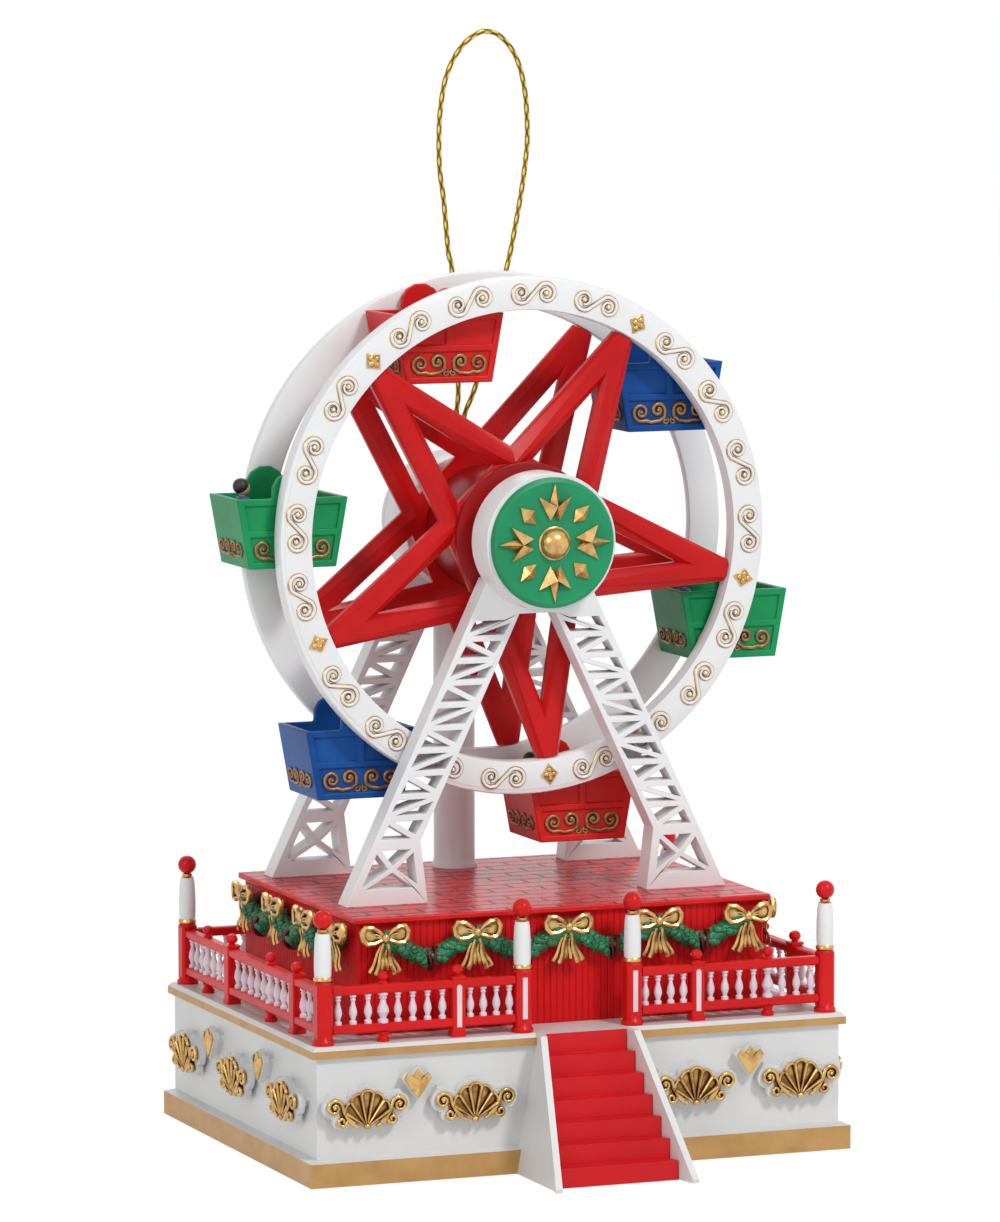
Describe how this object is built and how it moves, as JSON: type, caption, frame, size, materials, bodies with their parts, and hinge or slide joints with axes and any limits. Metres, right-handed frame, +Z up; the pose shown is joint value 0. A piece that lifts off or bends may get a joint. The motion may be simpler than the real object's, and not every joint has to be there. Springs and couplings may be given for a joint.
{
  "type": "musical ferris wheel ornament",
  "caption": "Wind-up ferris wheel ornament: a turning wheel with hanging gondolas between two lattice towers on a fenced base with stairs.",
  "frame": {"origin": "centre of the box of the standing part without its cord, on the surface that the base stands on", "axes": "+Z up, +Y from the stairs to the back, +X to the right seen from the stairs"},
  "size_m": [0.0948, 0.0888, 0.1783],
  "materials": {
    "white_plastic": "semi-gloss moulded plastic with gold painted bands and ornament",
    "red_plastic": "glossy red paint",
    "deck_red_plastic": "glossy red paint over a shingle pattern",
    "green_plastic": "glossy green paint",
    "blue_plastic": "glossy blue paint",
    "gold_paint": "metallic gold paint",
    "rider_paint": "hand painted dolls",
    "steel": "plain",
    "brass": "plain",
    "dark_plastic": "matte",
    "gold_cord": "braided metallic gold thread"
  },
  "bodies": {
    "base": {"base_housing": "white_plastic", "base_plate": "dark_plastic", "cord_knot": "gold_cord", "deck_floor": "deck_red_plastic", "deck_house": "red_plastic", "drive_column": "white_plastic", "fence_back": "red_plastic", "fence_front_left": "red_plastic", "fence_front_right": "red_plastic", "fence_left": "red_plastic", "fence_right": "red_plastic", "front_cap": "green_plastic", "front_tower": "white_plastic", "garland_front": "gold_paint", "garland_left": "gold_paint", "garland_right": "gold_paint", "hanging_cord": "gold_cord", "movement_case": "steel", "post_back_left": "red_plastic", "post_back_right": "red_plastic", "post_front_left": "red_plastic", "post_front_right": "red_plastic", "post_stair_left": "red_plastic", "post_stair_right": "red_plastic", "rear_cover": "white_plastic", "rear_tower": "white_plastic", "stair_flight": "red_plastic"},
    "wheel": {"front_rim": "white_plastic", "rear_rim": "white_plastic", "front_star": "red_plastic", "rear_star": "red_plastic", "hub_flange": "red_plastic", "hub_drum": "red_plastic", "hub_collar": "red_plastic", "wheel_axle": "steel", "axle_gear": "brass"},
    "drive_shaft": {"drive_shaft": "steel"},
    "winding_key": {"winding_key": "brass"},
    "gondola_1": {"gondola_1": "red_plastic"},
    "gondola_2": {"gondola_2": "blue_plastic"},
    "gondola_3": {"gondola_3": "green_plastic", "rider_3": "rider_paint"},
    "gondola_4": {"gondola_4": "red_plastic", "rider_4": "rider_paint"},
    "gondola_5": {"gondola_5": "blue_plastic"},
    "gondola_6": {"gondola_6": "green_plastic", "rider_6": "rider_paint"}
  },
  "joints": [
    {"name": "wheel_spin", "type": "hinge", "parent": "base", "child": "wheel", "pos_m": [0, 0, 0.0981], "axis": [0, 1, 0], "continuous": true},
    {"name": "shaft_spin", "type": "hinge", "parent": "base", "child": "drive_shaft", "pos_m": [0, 0.0302, 0.05], "axis": [0, 0, 1], "continuous": true},
    {"name": "key_turn", "type": "hinge", "parent": "base", "child": "winding_key", "pos_m": [0, -0.0093, 0.003], "axis": [0, 0, 1], "continuous": true},
    {"name": "gondola_1_swing", "type": "hinge", "parent": "wheel", "child": "gondola_1", "pos_m": [-0.01143, 0.009, 0.13549], "axis": [0, 1, 0], "continuous": true},
    {"name": "gondola_2_swing", "type": "hinge", "parent": "wheel", "child": "gondola_2", "pos_m": [0.02667, 0.009, 0.1267], "axis": [0, 1, 0], "continuous": true},
    {"name": "gondola_3_swing", "type": "hinge", "parent": "wheel", "child": "gondola_3", "pos_m": [0.0381, 0.009, 0.0893], "axis": [0, 1, 0], "continuous": true},
    {"name": "gondola_4_swing", "type": "hinge", "parent": "wheel", "child": "gondola_4", "pos_m": [0.01143, 0.009, 0.06071], "axis": [0, 1, 0], "continuous": true},
    {"name": "gondola_5_swing", "type": "hinge", "parent": "wheel", "child": "gondola_5", "pos_m": [-0.02667, 0.009, 0.0695], "axis": [0, 1, 0], "continuous": true},
    {"name": "gondola_6_swing", "type": "hinge", "parent": "wheel", "child": "gondola_6", "pos_m": [-0.0381, 0.009, 0.1069], "axis": [0, 1, 0], "continuous": true}
  ],
  "couplings": [
    {"joint": "shaft_spin", "follows": "wheel_spin", "ratio": -3},
    {"joint": "gondola_1_swing", "follows": "wheel_spin", "ratio": -1},
    {"joint": "gondola_2_swing", "follows": "wheel_spin", "ratio": -1},
    {"joint": "gondola_3_swing", "follows": "wheel_spin", "ratio": -1},
    {"joint": "gondola_4_swing", "follows": "wheel_spin", "ratio": -1},
    {"joint": "gondola_5_swing", "follows": "wheel_spin", "ratio": -1},
    {"joint": "gondola_6_swing", "follows": "wheel_spin", "ratio": -1}
  ]
}
